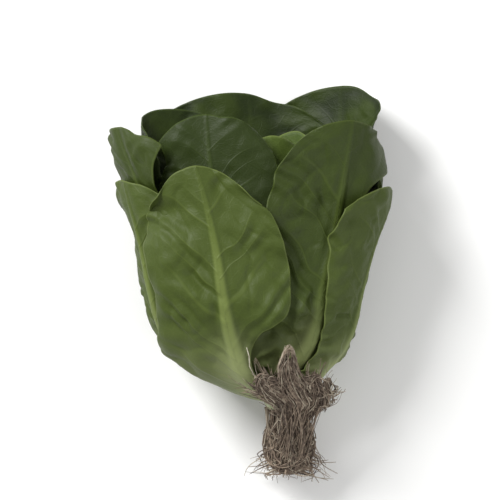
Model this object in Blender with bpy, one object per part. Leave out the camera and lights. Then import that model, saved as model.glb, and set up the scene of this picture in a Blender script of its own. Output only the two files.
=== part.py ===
"""A head of baby cos lettuce with its roots, lying on its side.

Units are metres. +Y runs from the roots to the leaf tips, +X lies to the right and
+Z points up, away from the surface that the head lies on. The origin is the middle
of the box that the head fills, at the height of that surface.

Every leaf lies on a shell that runs round the head's axis: a short flare above the
crown, then a long flattened tube. The shells are nested, the outermost has layer 0,
and each higher layer is smaller and starts higher up the stem. A leaf is a sheet on
its shell, from its foot on the stem to its tip, with its own outline, waves and rib.
"""
import math
import random
from collections import namedtuple

import bmesh
import bpy
import numpy as np
from mathutils import Matrix, Vector

# Place of the crown, where the lowest leaf leaves the stem
CROWN = Vector((0.02230, -0.07082, 0.030))

# The outermost shell at some heights above the crown:
# height, half width (X), half depth (Z), sideways shift of its middle, rise of its middle
SHELL = (
    (0.000, 0.0140, 0.0135, 0.0000, 0.0000),
    (0.008, 0.0300, 0.0210, -0.0080, 0.0020),
    (0.018, 0.0440, 0.0280, -0.0150, 0.0050),
    (0.036, 0.0590, 0.0355, -0.0180, 0.0090),
    (0.063, 0.0680, 0.0420, -0.0200, 0.0125),
    (0.093, 0.0745, 0.0430, -0.0200, 0.0130),
    (0.123, 0.0785, 0.0430, -0.0215, 0.0130),
    (0.153, 0.0800, 0.0405, -0.0245, 0.0120),
    (0.193, 0.0790, 0.0360, -0.0260, 0.0100),
    (0.230, 0.0760, 0.0320, -0.0260, 0.0080),
)
WIDEST = SHELL[5]
SQUARENESS = 2.35          # exponent of the shell's rounded cross-section, 2 is an ellipse
LAYER_RISE = 0.0022        # each layer starts this much higher up the stem
LAYER_THINNER = 0.050      # each layer's depth is this share smaller than the outermost one's
LAYER_NARROWER = (0.016, 0.0022)   # the same for its width, per layer and per squared layer
ROUND_FOOT = 0.030         # up to this height the shells pass from round to flattened

BLADE = 0.0009             # thickness of a leaf's blade
RIB_AT_FOOT = 0.0016       # how far the midrib stands out of the blade, at its foot
RIB_AT_TIP = 0.0004
RIB_WIDTH_AT_FOOT = 0.0085
RIB_WIDTH_AT_TIP = 0.0030
RIB_FULL_SIZE = 0.045      # a blade of this half width has the full rib, a smaller one less
SMALL_STEP = 0.0005        # between the spots of a shell that give the direction out of it

# Half outlines of a blade: share of its length, share of its full half width
BROAD = ((0.00, 0.20), (0.07, 0.40), (0.18, 0.80), (0.36, 0.97), (0.60, 1.00),
         (0.80, 0.96), (0.93, 0.84), (1.00, 0.70))
PLAIN = ((0.00, 0.18), (0.10, 0.28), (0.28, 0.60), (0.50, 0.90), (0.68, 1.00),
         (0.84, 0.98), (0.95, 0.84), (1.00, 0.70))
SLENDER = ((0.00, 0.18), (0.10, 0.28), (0.28, 0.50), (0.50, 0.68), (0.68, 0.76),
           (0.84, 0.76), (0.95, 0.70), (1.00, 0.62))
SQUARE = ((0.00, 0.18), (0.08, 0.36), (0.20, 0.74), (0.38, 0.95), (0.60, 1.00),
          (0.84, 1.00), (0.95, 0.94), (1.00, 0.86))
LOBED = ((0.00, 0.20), (0.07, 0.46), (0.20, 0.92), (0.29, 1.02), (0.40, 0.92),
         (0.54, 0.84), (0.80, 0.84), (0.91, 0.74), (1.00, 0.47))
ROUND_BELOW = ((0.00, 0.20), (0.07, 0.46), (0.17, 0.84), (0.34, 1.08), (0.50, 1.10),
               (0.70, 0.93), (0.88, 0.72), (1.00, 0.50))
NOTCHED_BELOW = ((0.00, 0.20), (0.14, 0.15), (0.25, 0.15), (0.32, 0.23), (0.38, 0.37),
                 (0.44, 0.64), (0.50, 0.77), (0.64, 0.82), (0.80, 0.80), (0.91, 0.72),
                 (1.00, 0.58))
WIDENING = ((0.00, 0.18), (0.08, 0.33), (0.25, 0.48), (0.45, 0.64), (0.60, 0.76),
            (0.72, 0.86), (0.85, 0.94), (1.00, 0.89))
SPOON = ((0.00, 0.15), (0.12, 0.21), (0.30, 0.33), (0.52, 0.34), (0.72, 0.24),
         (0.82, 0.27), (0.87, 0.40), (0.91, 0.62), (0.95, 0.88), (1.00, 0.92))
SLIM = ((0.00, 0.10), (0.20, 0.22), (0.40, 0.38), (0.65, 0.52), (0.90, 0.54), (1.00, 0.46))
SLIM_FAN = ((0.00, 0.18), (0.20, 0.23), (0.60, 0.24), (0.80, 0.32), (0.88, 0.44),
            (0.95, 0.60), (1.00, 0.76))
FAN = ((0.00, 0.18), (0.10, 0.28), (0.30, 0.60), (0.55, 0.86), (0.80, 0.94),
       (1.00, 0.92))
NARROW_SHOULDER = ((0.00, 0.18), (0.10, 0.28), (0.28, 0.60), (0.50, 0.85), (0.70, 0.88),
                   (0.83, 0.79), (0.90, 0.66), (1.00, 0.70))

# turn: angle round the axis in degrees, 0 to the right, 90 up, 270 down
# layer: which shell; tip: height of the tip above the crown; half_width: of the blade
# left, right: outlines of the halves at the growing and at the falling turn
# sway: how far the tip leans towards the growing turn
# tilt: how much further the half at the growing turn reaches up
# flare: how far the tip bends outwards
# wave, waves, phase: height, number and start of the waves along the margin
# notch, dip: place across the blade of a dip in its tip, and how deep it is
Leaf = namedtuple(
    "Leaf", "turn layer tip half_width left right sway tilt flare wave waves phase notch dip")
LEAF_LIST = (
    Leaf(99, 0.0, .141, .0500, LOBED, NOTCHED_BELOW, .013, .000, .002, .0018, 3.0, .4, .3, .001),
    Leaf(268, 0.0, .160, .0500, BROAD, BROAD, .004, .002, .003, .0010, 3.0, 1.9, -.4, .003),
    Leaf(16, 1.6, .130, .0420, WIDENING, ROUND_BELOW, -.009, .001, .008, .0010, 3.2, .9, -.1, .003),
    Leaf(158, 2.1, .134, .0420, BROAD, BROAD, .000, .003, .003, .0010, 2.8, 2.6, -.2, .001),
    Leaf(318, 4.6, .192, .0490, SLENDER, SQUARE, .002, .002, .008, .0014, 3.4, 4.0, .6, .003),
    Leaf(135, 3.9, .165, .0370, SQUARE, SLIM_FAN, .020, -.001, .009, .0014, 3.1, 5.1, -.5, .003),
    Leaf(55, 3.4, .166, .0430, BROAD, SPOON, -.014, .003, .009, .0012, 2.7, 1.1, .0, -.001),
    Leaf(227, 7.6, .178, .0490, SQUARE, SQUARE, .000, .000, .003, .0010, 3.0, 3.3, -.5, .002),
    Leaf(272, 6.0, .188, .0500, SQUARE, FAN, .000, -.004, .005, .0012, 3.3, .2, .3, .003),
    Leaf(106, 6.2, .172, .0380, NARROW_SHOULDER, PLAIN, .000, -.003, .003, .0012, 3.2, 4.4, -.3, .002),
    Leaf(352, 3.8, .139, .0330, SLIM, SLIM, .001, .001, .009, .0010, 2.9, 2.2, .4, .003),
    Leaf(74, 10.6, .160, .0330, PLAIN, PLAIN, .000, .002, .000, .0008, 2.6, 1.6, .3, .002),
    Leaf(206, 10.6, .162, .0320, PLAIN, PLAIN, .000, -.002, -.002, .0008, 2.9, 3.0, -.4, .002),
    Leaf(318, 11.7, .164, .0290, PLAIN, PLAIN, .000, .002, -.002, .0008, 2.5, 4.9, .4, .002),
    Leaf(96, 12.6, .158, .0260, PLAIN, PLAIN, .000, -.001, -.002, .0006, 2.4, .5, -.3, .002),
    Leaf(192, 13.8, .150, .0220, PLAIN, PLAIN, .000, .001, -.001, .0005, 2.3, 2.0, .3, .001),
    Leaf(300, 14.8, .142, .0185, PLAIN, PLAIN, .000, .000, -.001, .0005, 2.3, 3.1, .0, .001),
    Leaf(60, 15.8, .130, .0145, PLAIN, PLAIN, .000, .000, -.001, .0004, 2.3, .2, .0, .001),
)
LEAVES = {f"leaf_{number:02d}": leaf for number, leaf in enumerate(LEAF_LIST, start=1)}
INNERMOST = max(leaf.layer for leaf in LEAF_LIST)
CUP_DEPTH = 0.002          # how far the sides of a heart leaf bend inwards
CUP_START, CUP_END = 0.20, 0.70        # shares of a leaf's length between which its shape sets in
FLARE_START = 0.55         # it goes on growing up to the tip
WAVE_START, WAVE_END = 0.05, 0.35
DIP_START = 0.70
RIPPLE_START = 0.75
TIP_ROUNDING = 0.36        # how far the ends of a blade's last row fall back, in half widths
TIP_SHAPE = 2.2            # exponent of that rounding: higher keeps the tip's middle flatter
TIP_RIPPLES = 5.0          # how fast the tip's edge ripples across the blade
NOTCH_WIDTH = 0.22         # half width of the dip in a tip, in half widths of the blade
MARGIN = 2.5               # exponent that keeps the waves near the margin
OUTER_GRID = (12, 12)      # faces across and along a leaf
HEART_GRID = (8, 10)       # the same for the small leaves of the heart
HEART_LAYER = 9.5          # the leaves from this layer inwards are the heart
COLUMN_CROWDING = 1.4      # above 1 the columns stand closer at the midrib

OUTER_GREEN = (0.055, 0.100, 0.022)    # linear red, green, blue
HEART_GREEN = (0.330, 0.430, 0.110)
PALING = 1.5               # exponent: above 1 the leaves stay dark further inwards
STEM_GREEN = (0.480, 0.540, 0.300)
ROOT_BROWN = (0.130, 0.098, 0.065)
LEAF_GLOSS, STEM_GLOSS, ROOT_GLOSS = 0.45, 0.50, 0.85    # roughness

STEM_TOP = 0.0345          # levels are measured along +Y from the crown
STEM_BOTTOM = -0.0040
STEM_END_ROUNDING = 0.15   # how much the bottom end draws in
STEM_INSET = 0.00115       # the stem ends this far inside the middles of the leaf feet
STEM_RINGS = 12
STEM_SIDES = 16

ROOT_SEED = 7
LUMP_MIDDLE = CROWN + Vector((0.0019, -0.0246, -0.0065))
LUMP_SIZE = Vector((0.0150, 0.0180, 0.0115))
LUMP_BUMPS = 0.16          # share of its size
LUMP_BUMP_RATES = (4.0, 5.0, 4.0)      # how fast they follow one another in X, Y and Z
PAD_TURN = 75              # the pad of matted roots over the leaf feet: its middle, in degrees
PAD_LAYER = -2.6
PAD_SHARE = 0.110          # its half width, as a share of the way round
PAD_WAIST = 0.15           # how much narrower its bottom is
PAD_BOTTOM = -0.004        # lengths up the shell's wall
PAD_TOP = ((-1.00, 0.030), (-0.50, 0.040), (-0.20, 0.042), (-0.08, 0.054), (0.08, 0.058),
           (0.22, 0.043), (0.55, 0.040), (1.00, 0.028))    # place across the pad, length there
PAD_THICKNESS = 0.0022
PAD_BUMPS = 0.0007
PAD_BUMP_RATES = (13.0, 9.0)           # how fast they follow one another across and up it
PAD_GRID = (20, 8)
STRAND_RADIUS = 0.0010
STRAND_THINNING = (0.1, 0.5)
STRAND_POINTS = 6
STRAND_SIDES = 4
FRONT_STRANDS = 34         # roots that curl up over the pad and past its top
FRONT_REACH = (0.65, 1.30)             # how far up, as a share of the way to the pad's top
FRONT_LAYERS = (-3.8, -1.6)
FRONT_BEND = 0.25          # how far a tip may lean sideways, as a share of the pad's half width
FRONT_START = 0.35         # how far from the lump's middle they start
TAIL_STRANDS = 24          # roots that run away from the leaves
TAIL_STARTS = (-0.5, 0.8)
TAIL_SPREAD = 0.030
TAIL_ENDS = (-0.0506, -0.0380)
TAIL_HEIGHT = 0.020
TAIL_WIGGLE = 0.004
TAIL_TURNS = 6.0


def smooth_curve(stations, column):
    """A smooth function through one column of a table whose first column grows."""
    xs = np.array([row[0] for row in stations])
    ys = np.array([row[column] for row in stations])
    slopes = np.gradient(ys, xs)

    def value(x):
        i = np.clip(np.searchsorted(xs, x) - 1, 0, len(xs) - 2)
        span = xs[i + 1] - xs[i]
        s = np.clip((x - xs[i]) / span, 0.0, 1.0)
        return (
            (1 + 2 * s) * (1 - s) ** 2 * ys[i]
            + s * (1 - s) ** 2 * span * slopes[i]
            + s * s * (3 - 2 * s) * ys[i + 1]
            + s * s * (s - 1) * span * slopes[i + 1]
        )
    return value


half_width_at = smooth_curve(SHELL, 1)
half_depth_at = smooth_curve(SHELL, 2)
shift_at = smooth_curve(SHELL, 3)
rise_at = smooth_curve(SHELL, 4)


def path_heights(steps=460):
    """Heights above the crown, and the length along the shell's wall up to each of them."""
    heights = np.linspace(0.0, SHELL[-1][0], steps)
    widths = np.diff(half_width_at(heights))
    depths = np.diff(half_depth_at(heights))
    run = np.sqrt(np.diff(heights) ** 2 + (widths ** 2 + depths ** 2) / 2)
    return heights, np.concatenate(([0.0], np.cumsum(run)))


def ring_table(steps=720):
    """Angles round the cross-section, the share of its length up to each, and its points."""
    angles = np.linspace(0.0, 2 * math.pi, steps + 1)
    xs = np.sign(np.cos(angles)) * np.abs(np.cos(angles)) ** (2 / SQUARENESS)
    zs = np.sign(np.sin(angles)) * np.abs(np.sin(angles)) ** (2 / SQUARENESS)
    run = np.hypot(np.diff(xs) * WIDEST[1], np.diff(zs) * WIDEST[2])
    share = np.concatenate(([0.0], np.cumsum(run))) / run.sum()
    return angles, share, xs, zs


HEIGHTS, WALL_LENGTHS = path_heights()
RING_ANGLES, RING_SHARE, RING_X, RING_Z = ring_table()


def step_up(x, start, end):
    """0 up to start, 1 from end, smooth between them."""
    s = np.clip((x - start) / (end - start), 0.0, 1.0)
    return s * s * (3 - 2 * s)


def share_at(turn):
    """Share of the way round the cross-section at a turn in degrees."""
    return float(np.interp(math.radians(turn), RING_ANGLES, RING_SHARE))


def shell_size(height, layer):
    """Half width and half depth of a shell, at a height above its own foot."""
    narrow = 1.0 - LAYER_THINNER * layer
    wide = 1.0 - LAYER_NARROWER[0] * layer - LAYER_NARROWER[1] * layer ** 2
    wide = narrow + (wide - narrow) * step_up(height, 0.0, ROUND_FOOT)
    return half_width_at(height) * wide, half_depth_at(height) * narrow


def shell_points(share, length, layer):
    """Points of a shell: share of the way round, length up its wall from its foot."""
    below = np.minimum(length, 0.0)
    height = np.interp(length, WALL_LENGTHS, HEIGHTS)
    half_width, half_depth = shell_size(height, layer)
    level = height + LAYER_RISE * layer
    x = CROWN.x + shift_at(level) + half_width * np.interp(share % 1.0, RING_SHARE, RING_X)
    z = CROWN.z + rise_at(level) + half_depth * np.interp(share % 1.0, RING_SHARE, RING_Z)
    return np.stack((x, CROWN.y + level + below, z), axis=-1)


def girth(length, layer):
    """Length once round a shell."""
    a, b = shell_size(np.interp(length, WALL_LENGTHS, HEIGHTS), layer)
    return math.pi * (3 * (a + b) - np.sqrt((3 * a + b) * (a + 3 * b)))


def half_outline(leaf, u, v):
    """Half width of the blade on the side of u. u is -1 to 1 across it, v 0 to 1 along it."""
    left = smooth_curve(leaf.left, 1)(v)
    right = smooth_curve(leaf.right, 1)(v)
    return leaf.half_width * np.where(u > 0, left, right)


def leaf_place(leaf, u, v):
    """Where spots of the leaf lie on its shell: share round it, length up it."""
    wall = float(np.interp(leaf.tip - LAYER_RISE * leaf.layer, HEIGHTS, WALL_LENGTHS))
    droop = TIP_ROUNDING * leaf.half_width * v ** 3 * np.abs(u) ** TIP_SHAPE
    dip = leaf.dip * np.exp(-((u - leaf.notch) / NOTCH_WIDTH) ** 2) * step_up(v, DIP_START, 1.0)
    length = wall * v - droop - dip + leaf.tilt * u * v * v
    across = leaf.sway * v * v + u * half_outline(leaf, u, v)
    return share_at(leaf.turn) + across / girth(length, leaf.layer), length


def leaf_lift(leaf, u, v):
    """How far spots of the leaf stand out of its shell."""
    flare = leaf.flare * step_up(v, FLARE_START, 1.0) ** 2
    cup = CUP_DEPTH * (leaf.layer > HEART_LAYER) * u * u * step_up(v, CUP_START, CUP_END)
    turning = 2 * math.pi * leaf.waves * v + leaf.phase + np.where(u > 0, 1.0, -1.0)
    wave = leaf.wave * np.sin(turning) * np.abs(u) ** MARGIN * step_up(v, WAVE_START, WAVE_END)
    ripple = leaf.wave * np.sin(TIP_RIPPLES * u + leaf.phase) * step_up(v, RIPPLE_START, 1.0)
    return flare - cup + wave + ripple


def outward(share, length, layer):
    """Points of a shell, and the directions that point straight out of it there."""
    here = shell_points(share, length, layer)
    round_it = shell_points(share + SMALL_STEP, length, layer) - here
    up_it = shell_points(share, length + SMALL_STEP, layer) - here
    out = np.cross(up_it, round_it)
    return here, out / np.linalg.norm(out, axis=-1, keepdims=True)


def leaf_points(leaf, u, v):
    """Points in the middle of the blade, and the directions out of its shell."""
    share, length = leaf_place(leaf, u, v)
    here, out = outward(share, length, leaf.layer)
    points = here + out * leaf_lift(leaf, u, v)[:, None]
    points[:, 2] = np.maximum(points[:, 2], BLADE / 2)
    return points, out


def rib_height(leaf, u, v):
    """How far the midrib stands out of the blade's outer face."""
    share = min(1.0, leaf.half_width / RIB_FULL_SIZE) ** 2
    width = share * (RIB_WIDTH_AT_FOOT + (RIB_WIDTH_AT_TIP - RIB_WIDTH_AT_FOOT) * v)
    height = share * (RIB_AT_FOOT + (RIB_AT_TIP - RIB_AT_FOOT) * v)
    return height * np.exp(-(u * half_outline(leaf, u, v) / width) ** 2)


def new_object(name, mesh):
    thing = bpy.data.objects.new(name, mesh)
    bpy.context.scene.collection.objects.link(thing)
    return thing


def mesh_object(name, bm):
    """Ends a bmesh as an object of that name."""
    mesh = bpy.data.meshes.new(name)
    bm.to_mesh(mesh)
    bm.free()
    return new_object(name, mesh)


def material(name, colour, roughness):
    finish = bpy.data.materials.new(name)
    finish.use_nodes = True
    shader = finish.node_tree.nodes["Principled BSDF"]
    shader.inputs["Base Color"].default_value = (*colour, 1.0)
    shader.inputs["Roughness"].default_value = roughness
    shader.inputs["Metallic"].default_value = 0.0
    return finish


def sheet(grid):
    """A flat grid split into triangles, and its points' places: -1 to 1 across, 0 to 1 along."""
    bm = bmesh.new()
    bmesh.ops.create_grid(bm, x_segments=grid[0], y_segments=grid[1], size=1.0)
    bmesh.ops.triangulate(bm, faces=bm.faces[:], quad_method="ALTERNATE")
    flat = np.array([vert.co[:2] for vert in bm.verts])
    return bm, flat[:, 0], (flat[:, 1] + 1) / 2


def thicken(bm, middles, out, inner_depth, outer_depth):
    """Lays the sheet on middles and makes it a closed body: so far inwards, so far outwards."""
    number = bm.verts.layers.int.new("number")
    for i, vert in enumerate(bm.verts):
        vert[number] = i
        vert.co = middles[i]
    bm.normal_update()
    normals = np.array([vert.normal for vert in bm.verts])
    normals *= math.copysign(1.0, np.sum(normals * out))
    inner_sheet = bm.verts[:]
    made = bmesh.ops.extrude_face_region(bm, geom=bm.faces[:], use_keep_orig=True)
    outer_sheet = [item for item in made["geom"] if isinstance(item, bmesh.types.BMVert)]
    for vert in inner_sheet:
        vert.co -= Vector(normals[vert[number]] * inner_depth[vert[number]])
    for vert in outer_sheet:
        vert.co += Vector(normals[vert[number]] * outer_depth[vert[number]])
    for vert in bm.verts:
        vert.co.z = max(vert.co.z, 0.0)
    bmesh.ops.recalc_face_normals(bm, faces=bm.faces[:])


def make_leaf(name, leaf):
    """A closed blade: a sheet on the leaf's shell, thickened both ways, with its rib."""
    bm, across, v = sheet(HEART_GRID if leaf.layer > HEART_LAYER else OUTER_GRID)
    u = np.sign(across) * np.abs(across) ** COLUMN_CROWDING
    middles, out = leaf_points(leaf, u, v)
    half = np.full(len(u), BLADE / 2)
    thicken(bm, middles, out, half, half + rib_height(leaf, u, v))
    return mesh_object(name, bm)


def stem_ring(level):
    """Middle and half sizes of the stem at a level: just inside the feet of the leaves."""
    middle = CROWN + Vector((float(shift_at(level)), level, float(rise_at(level))))
    taper = 1 - LAYER_THINNER * max(level, 0.0) / LAYER_RISE
    rounding = 1 - STEM_END_ROUNDING * (min(level, 0.0) / STEM_BOTTOM) ** 2
    half_width = (SHELL[0][1] * taper - STEM_INSET) * rounding
    half_depth = (SHELL[0][2] * taper - STEM_INSET) * rounding
    return middle, half_width, half_depth


def make_stem():
    """A prism along Y, cut into rings that each take their own place and size."""
    bm = bmesh.new()
    bmesh.ops.create_cone(
        bm, cap_ends=True, segments=STEM_SIDES, radius1=1.0, radius2=1.0,
        depth=STEM_TOP - STEM_BOTTOM,
        matrix=(Matrix.Translation((0, (STEM_TOP + STEM_BOTTOM) / 2, 0))
                @ Matrix.Rotation(-math.pi / 2, 4, "X")))
    for level in np.linspace(STEM_BOTTOM, STEM_TOP, STEM_RINGS)[1:-1]:
        everything = bm.verts[:] + bm.edges[:] + bm.faces[:]
        bmesh.ops.bisect_plane(bm, geom=everything, plane_co=(0, level, 0), plane_no=(0, 1, 0))
    for vert in bm.verts:
        middle, half_width, half_depth = stem_ring(vert.co.y)
        vert.co = middle + Vector((vert.co.x * half_width, 0, vert.co.z * half_depth))
    bmesh.ops.recalc_face_normals(bm, faces=bm.faces[:])
    return mesh_object("stem", bm)


def tube(name, points, radii):
    """A closed round tube through points, with its own radius at each of them."""
    curve = bpy.data.curves.new(name, "CURVE")
    curve.dimensions = "3D"
    curve.bevel_depth = 1.0
    curve.bevel_resolution = STRAND_SIDES // 2 - 2
    curve.use_fill_caps = True
    spline = curve.splines.new("POLY")
    spline.points.add(len(points) - 1)
    for spot, point, radius in zip(spline.points, points, radii):
        spot.co = (*point, 1.0)
        spot.radius = radius
    return new_object(name, curve)


def mesh_copy(thing):
    """The thing as a plain mesh object, in the place of the thing."""
    depsgraph = bpy.context.evaluated_depsgraph_get()
    mesh = bpy.data.meshes.new_from_object(thing.evaluated_get(depsgraph))
    name = thing.name
    bpy.data.objects.remove(thing)
    return new_object(name, mesh)


def root_lump():
    """The lump of matted roots below the crown."""
    bm = bmesh.new()
    bmesh.ops.create_icosphere(bm, subdivisions=3, radius=1.0)
    for vert in bm.verts:
        x, y, z = (rate * value for rate, value in zip(LUMP_BUMP_RATES, vert.co))
        bump = 1 + LUMP_BUMPS * math.sin(x + 1) * math.sin(y) * math.cos(z)
        vert.co = LUMP_MIDDLE + vert.co * LUMP_SIZE * bump
    return mesh_object("roots", bm)


def pad_place(u, v):
    """Where spots of the pad lie on its shell: u is -1 to 1 across it, v 0 to 1 up it."""
    share = share_at(PAD_TURN) + PAD_SHARE * u * (1 - PAD_WAIST * (1 - np.minimum(v, 1.0)) ** 2)
    return share, PAD_BOTTOM + (smooth_curve(PAD_TOP, 1)(u) - PAD_BOTTOM) * v


def root_pad():
    """The pad of matted roots that lies over the feet of the leaves in front."""
    bm, u, v = sheet(PAD_GRID)
    middles, out = outward(*pad_place(u, v), PAD_LAYER)
    bumps = PAD_BUMPS * (1 + np.sin(PAD_BUMP_RATES[0] * u) * np.cos(PAD_BUMP_RATES[1] * v))
    half = PAD_THICKNESS / 2
    thicken(bm, middles, out, np.full(len(u), half), half + bumps)
    return mesh_object("pad", bm)


def front_strand(draw):
    """A root that curls from the lump up over the pad."""
    u = draw.uniform(-1.0, 1.0)
    reach = draw.uniform(*FRONT_REACH)
    layer = draw.uniform(*FRONT_LAYERS)
    bend = draw.uniform(-FRONT_BEND, FRONT_BEND)
    points = []
    for i in range(STRAND_POINTS - 1):
        s = i / (STRAND_POINTS - 2)
        points.append(Vector(shell_points(*pad_place(u + bend * s * s, reach * s), layer)))
    return [LUMP_MIDDLE.lerp(points[0], FRONT_START), *points]


def tail_strand(draw):
    """A root that leaves the lump on any side and runs away from the leaves, down to the surface."""
    turn = draw.uniform(0, 2 * math.pi)
    side = math.cos(turn)
    up = (1 + math.sin(turn)) / 2
    start = LUMP_MIDDLE - Vector((0, draw.uniform(*TAIL_STARTS) * LUMP_SIZE.y, 0))
    leave = start + Vector((side * LUMP_SIZE.x, -LUMP_SIZE.y / 3, math.sin(turn) * LUMP_SIZE.z))
    end = Vector((LUMP_MIDDLE.x + side * TAIL_SPREAD, 0, TAIL_HEIGHT * up))
    end.y = CROWN.y + draw.uniform(*TAIL_ENDS)
    wiggle = draw.uniform(-TAIL_WIGGLE, TAIL_WIGGLE)
    points = []
    for i in range(STRAND_POINTS):
        s = i / (STRAND_POINTS - 1)
        point = start.lerp(leave, min(2 * s, 1.0)).lerp(leave.lerp(end, s), s)
        point.x += wiggle * math.sin(TAIL_TURNS * s)
        point.z = max(point.z, STRAND_RADIUS)
        points.append(point)
    return points


def make_roots():
    """The lump with its pad and its strands, joined into one body."""
    draw = random.Random(ROOT_SEED)
    lump = root_lump()
    grown = [root_pad()]
    for i in range(FRONT_STRANDS + TAIL_STRANDS):
        points = front_strand(draw) if i < FRONT_STRANDS else tail_strand(draw)
        thinning = draw.uniform(*STRAND_THINNING)
        shares = [k / (STRAND_POINTS - 1) for k in range(STRAND_POINTS)]
        radii = [STRAND_RADIUS * (1 - thinning * share) for share in shares]
        grown.append(mesh_copy(tube(f"strand_{i}", points, radii)))
    bundle = bpy.data.collections.new("bundle")
    bpy.context.scene.collection.children.link(bundle)
    for piece in grown:
        bpy.context.scene.collection.objects.unlink(piece)
        bundle.objects.link(piece)
    union = lump.modifiers.new("union", "BOOLEAN")
    union.operation = "UNION"
    union.operand_type = "COLLECTION"
    union.collection = bundle
    union.solver = "EXACT"
    roots = mesh_copy(lump)
    for piece in grown:
        bpy.data.objects.remove(piece)
    bpy.data.collections.remove(bundle)
    return roots


def leaf_green(leaf):
    """Dark outside, paler and yellower towards the heart."""
    share = (leaf.layer / INNERMOST) ** PALING
    return tuple(a + (b - a) * share for a, b in zip(OUTER_GREEN, HEART_GREEN))


def build_head():
    for thing in list(bpy.data.objects):
        bpy.data.objects.remove(thing)
    for name, leaf in LEAVES.items():
        blade = make_leaf(name, leaf)
        blade.data.shade_smooth()
        blade.data.materials.append(material(name + "_green", leaf_green(leaf), LEAF_GLOSS))
    make_stem().data.materials.append(material("stem_pale_green", STEM_GREEN, STEM_GLOSS))
    make_roots().data.materials.append(material("root_brown", ROOT_BROWN, ROOT_GLOSS))


build_head()
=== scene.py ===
# %% [markdown]
# # A head of baby cos lettuce, with its roots
# This lesson dresses a plain model of a young romaine lettuce that lies on its side. The
# plain model has the right size and the right leaves, but every leaf is a bare green sheet.
# Here each leaf is made again from a finer grid, with veins, swells, creases and a thin
# painted highlight along its edge, and the roots become hundreds of fine strands.

# %% Load the plain model
import math
import random
from collections import namedtuple

import bmesh
import bpy
import numpy as np
from mathutils import Matrix, Vector, noise


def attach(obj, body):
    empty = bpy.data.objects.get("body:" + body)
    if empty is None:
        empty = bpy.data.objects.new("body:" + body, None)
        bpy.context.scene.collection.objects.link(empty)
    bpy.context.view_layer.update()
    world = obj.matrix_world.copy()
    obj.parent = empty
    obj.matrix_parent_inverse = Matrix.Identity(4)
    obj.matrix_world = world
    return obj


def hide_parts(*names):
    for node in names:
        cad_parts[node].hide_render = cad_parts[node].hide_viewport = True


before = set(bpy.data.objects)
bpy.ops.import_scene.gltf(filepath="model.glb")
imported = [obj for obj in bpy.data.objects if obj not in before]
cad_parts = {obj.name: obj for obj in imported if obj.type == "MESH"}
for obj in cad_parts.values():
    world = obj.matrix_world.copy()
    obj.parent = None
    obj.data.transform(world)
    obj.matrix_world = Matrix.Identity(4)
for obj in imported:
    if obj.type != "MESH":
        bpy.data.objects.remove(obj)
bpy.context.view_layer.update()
print("nodes:", ", ".join(sorted(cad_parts)))

# %% [markdown]
# ## Camera, floor and light
# The head lies flat, so the camera hangs straight above it and looks down. A long lens far
# away keeps the leaves in the front from looking too large. The floor could be a box or a
# backdrop with a bend, but from above one pale sheet does the same.

# %% The camera
VIEW_WIDTH = 0.300
CAMERA_DISTANCE = 1.5
SENSOR = 36.0
LOOK_AT = Vector((0.00058, 0.02127, 0.0400))

camera = bpy.data.objects.new("camera", bpy.data.cameras.new("camera"))
bpy.context.scene.collection.objects.link(camera)
camera.location = LOOK_AT + Vector((0.0, 0.0, CAMERA_DISTANCE))
camera.data.sensor_width = SENSOR
camera.data.lens = SENSOR * CAMERA_DISTANCE / VIEW_WIDTH
bpy.context.scene.camera = camera
print("lens in mm:", round(camera.data.lens))

# %% The floor
FLOOR_SIZE = 4.0
FLOOR_SHADE = (0.90, 0.90, 0.89, 1.0)


def link_mesh(name, bm):
    """Ends a bmesh: its faces become an object of that name, shaded smooth."""
    mesh = bpy.data.meshes.new(name)
    bm.to_mesh(mesh)
    bm.free()
    mesh.shade_smooth()
    thing = bpy.data.objects.new(name, mesh)
    bpy.context.scene.collection.objects.link(thing)
    return thing


def new_material(name, roughness):
    """A material with its Principled shader, its nodes and its links."""
    made = bpy.data.materials.new(name)
    made.use_nodes = True
    shader = made.node_tree.nodes["Principled BSDF"]
    shader.inputs["Roughness"].default_value = roughness
    return made, shader, made.node_tree.nodes, made.node_tree.links


sheet = bmesh.new()
bmesh.ops.create_grid(sheet, x_segments=1, y_segments=1, size=FLOOR_SIZE / 2)
floor = link_mesh("floor", sheet)
floor_paint, floor_shader, _, _ = new_material("floor_paint", 0.9)
floor_shader.inputs["Base Color"].default_value = FLOOR_SHADE
floor.data.materials.append(floor_paint)
print("floor is", FLOOR_SIZE, "m wide")

# %% [markdown]
# The light is a studio's: one large lamp from above and to the left, a weaker one opposite,
# and a white sky. Blender's usual view turns white paper grey to save bright highlights.
# There are none here, so the plain view is used, which shows a colour as it is.

# %% Soft lights
SKY_LIGHT = 0.52


def soft_light(name, place, size, power):
    """A square lamp that looks at the head."""
    lamp = bpy.data.objects.new(name, bpy.data.lights.new(name, "AREA"))
    bpy.context.scene.collection.objects.link(lamp)
    lamp.data.size = size
    lamp.data.energy = power
    lamp.location = place
    lamp.rotation_euler = (LOOK_AT - lamp.location).to_track_quat("-Z", "Y").to_euler()
    return lamp


soft_light("key_light", Vector((-0.80, 0.80, 0.95)), 0.55, 25.0)
soft_light("fill_light", Vector((0.90, -0.30, 0.90)), 0.90, 5.0)
world = bpy.data.worlds.new("sky")
world.use_nodes = True
world.node_tree.nodes["Background"].inputs["Strength"].default_value = SKY_LIGHT
world.node_tree.nodes["Background"].inputs["Color"].default_value = (1.0, 1.0, 1.0, 1.0)
bpy.context.scene.world = world
bpy.context.scene.view_settings.view_transform = "Standard"

# %% [markdown]
# ## The shells that the leaves lie on
# Lettuce leaves wrap round each other like the layers of an onion. Each leaf could be
# modelled flat and then bent round its neighbours by hand. It is surer to say where the
# layers are with a formula and to let each leaf lie on one of them, because then two leaves
# never pass through each other. A shell has a round foot at the stem, flares out over the
# roots, and goes on as a long flattened tube. The values are the plain model's own.

# %% The outermost shell
CROWN = Vector((0.02230, -0.07082, 0.030))
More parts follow.
